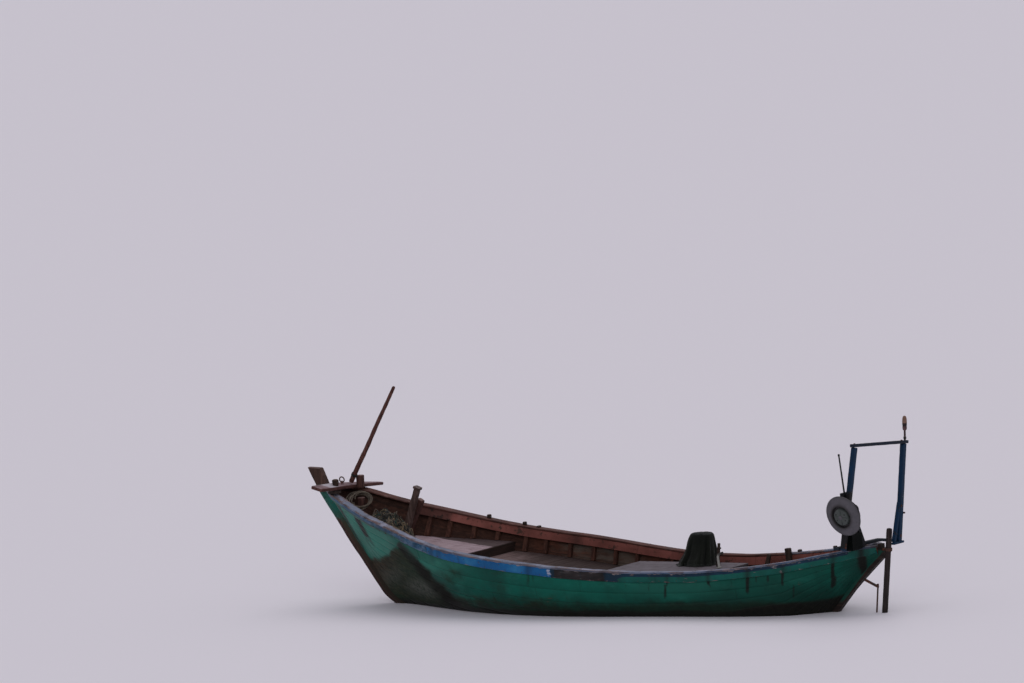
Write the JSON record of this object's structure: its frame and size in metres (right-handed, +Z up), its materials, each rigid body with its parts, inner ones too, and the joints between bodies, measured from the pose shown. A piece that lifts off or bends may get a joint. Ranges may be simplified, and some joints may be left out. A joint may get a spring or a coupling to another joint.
{
  "type": "wooden fishing boat",
  "caption": "Open wooden fishing boat with raked stem, decks inside the bulwarks, bow cross beam and pole, stern goal-post frame, net hauler, hinged rudder and propeller.",
  "frame": {"origin": "on the centre line at the waterline, midway between the two ends of the waterline", "axes": "+X to the bow, +Y to port, +Z up"},
  "size_m": [9.109, 2.3906, 3.5263],
  "materials": {
    "hull_paint": "worn teal-green paint over planks, stained brown and dark near the waterline",
    "strake_paint": "worn blue paint with bare patches",
    "inner_red_wood": "faded red-brown paint on planks",
    "cap_paint": "pale grey-blue paint, rubbed through in places",
    "stem_wood": "bare weathered wood, stained green low down",
    "backbone_wood": "dark wet wood",
    "rib_wood": "dark brown wood",
    "deck_wood": "greyed deck boards",
    "bare_wood": "bare brown boards",
    "engine_iron": "dark oily iron",
    "cover_cloth": "dark olive tarpaulin, dusty on top",
    "pipe_white": "dirty white",
    "beam_wood": "plum-brown wood, pale and worn on top",
    "rusty_iron": "dark rusty iron",
    "pole_wood": "reddish-brown pole",
    "bitt_wood": "rounded weathered posts",
    "rope": "grey-tan laid rope",
    "net": "heaped tan and dark netting",
    "frame_blue_paint": "deep blue-teal paint",
    "frame_dark_paint": "dark blue-grey paint",
    "lamp": "wrapped head, pinkish brown",
    "sheave_metal": "grey worn metal",
    "dark_steel": "near-black paint",
    "drive_paint": "very dark green, oily",
    "rudder_wood": "dark reddish-brown wood, greyer low down",
    "shaft_steel": "dull steel",
    "bronze": "dull bronze"
  },
  "bodies": {
    "boat": {"port_planking_aft": "hull_paint", "port_planking_fore": "hull_paint", "starboard_planking_aft": "hull_paint", "starboard_planking_fore": "hull_paint", "port_sheer_strake": "strake_paint", "starboard_sheer_strake": "strake_paint", "port_inner_strake": "inner_red_wood", "starboard_inner_strake": "inner_red_wood", "port_gunwale_cap": "cap_paint", "starboard_gunwale_cap": "cap_paint", "stem_post": "stem_wood", "keel": "backbone_wood", "stern_post": "backbone_wood", "port_ribs_aft": "rib_wood", "port_ribs_main": "rib_wood", "port_ribs_fore": "rib_wood", "starboard_ribs_aft": "rib_wood", "starboard_ribs_main": "rib_wood", "starboard_ribs_fore": "rib_wood", "aft_deck": "deck_wood", "main_deck": "deck_wood", "fore_deck": "deck_wood", "stern_deck": "deck_wood", "stern_bulkhead": "bare_wood", "mid_bulkhead": "bare_wood", "fore_bulkhead": "bare_wood", "engine_box": "deck_wood", "engine_block": "engine_iron", "engine_cover": "cover_cloth", "exhaust_pipe": "pipe_white", "deck_stake": "backbone_wood", "bow_beam": "beam_wood", "port_beam_chock": "backbone_wood", "port_bitt": "bitt_wood", "mooring_ring": "rusty_iron", "bow_pole": "pole_wood", "starboard_bitt": "beam_wood", "coil_post": "beam_wood", "rope_coil": "rope", "samson_post": "bitt_wood", "samson_post_short": "bitt_wood", "net_heap": "net", "frame_base_beam": "frame_dark_paint", "frame_port_post": "frame_blue_paint", "frame_starboard_post": "frame_blue_paint", "frame_crossbar": "frame_dark_paint", "frame_lamp": "lamp", "hauler_motor": "dark_steel", "hauler_leg": "dark_steel", "hauler_lever": "dark_steel", "hauler_drive": "drive_paint", "rudder_strap": "rusty_iron", "stern_irons": "rusty_iron", "stern_tube": "bronze", "quarter_bitt": "backbone_wood"},
    "rudder": {"rudder_stock": "rudder_wood", "rudder_blade": "rudder_wood"},
    "propeller": {"propeller_shaft": "shaft_steel", "propeller": "bronze"},
    "sheave": {"hauler_sheave": "sheave_metal"}
  },
  "joints": [
    {"name": "rudder_hinge", "type": "hinge", "parent": "boat", "child": "rudder", "pos_m": [-4.028, 0, -0.61], "axis": [-0.1341, 0, 0.991], "range_deg": [-35, 35]},
    {"name": "propeller_spin", "type": "hinge", "parent": "boat", "child": "propeller", "pos_m": [-3.12, 0, -0.243], "axis": [-0.9976, 0, -0.0698], "continuous": true},
    {"name": "sheave_spin", "type": "hinge", "parent": "boat", "child": "sheave", "pos_m": [-4.104, 0.849, 1.384], "axis": [0.1166, 0.9631, -0.2426], "continuous": true}
  ]
}
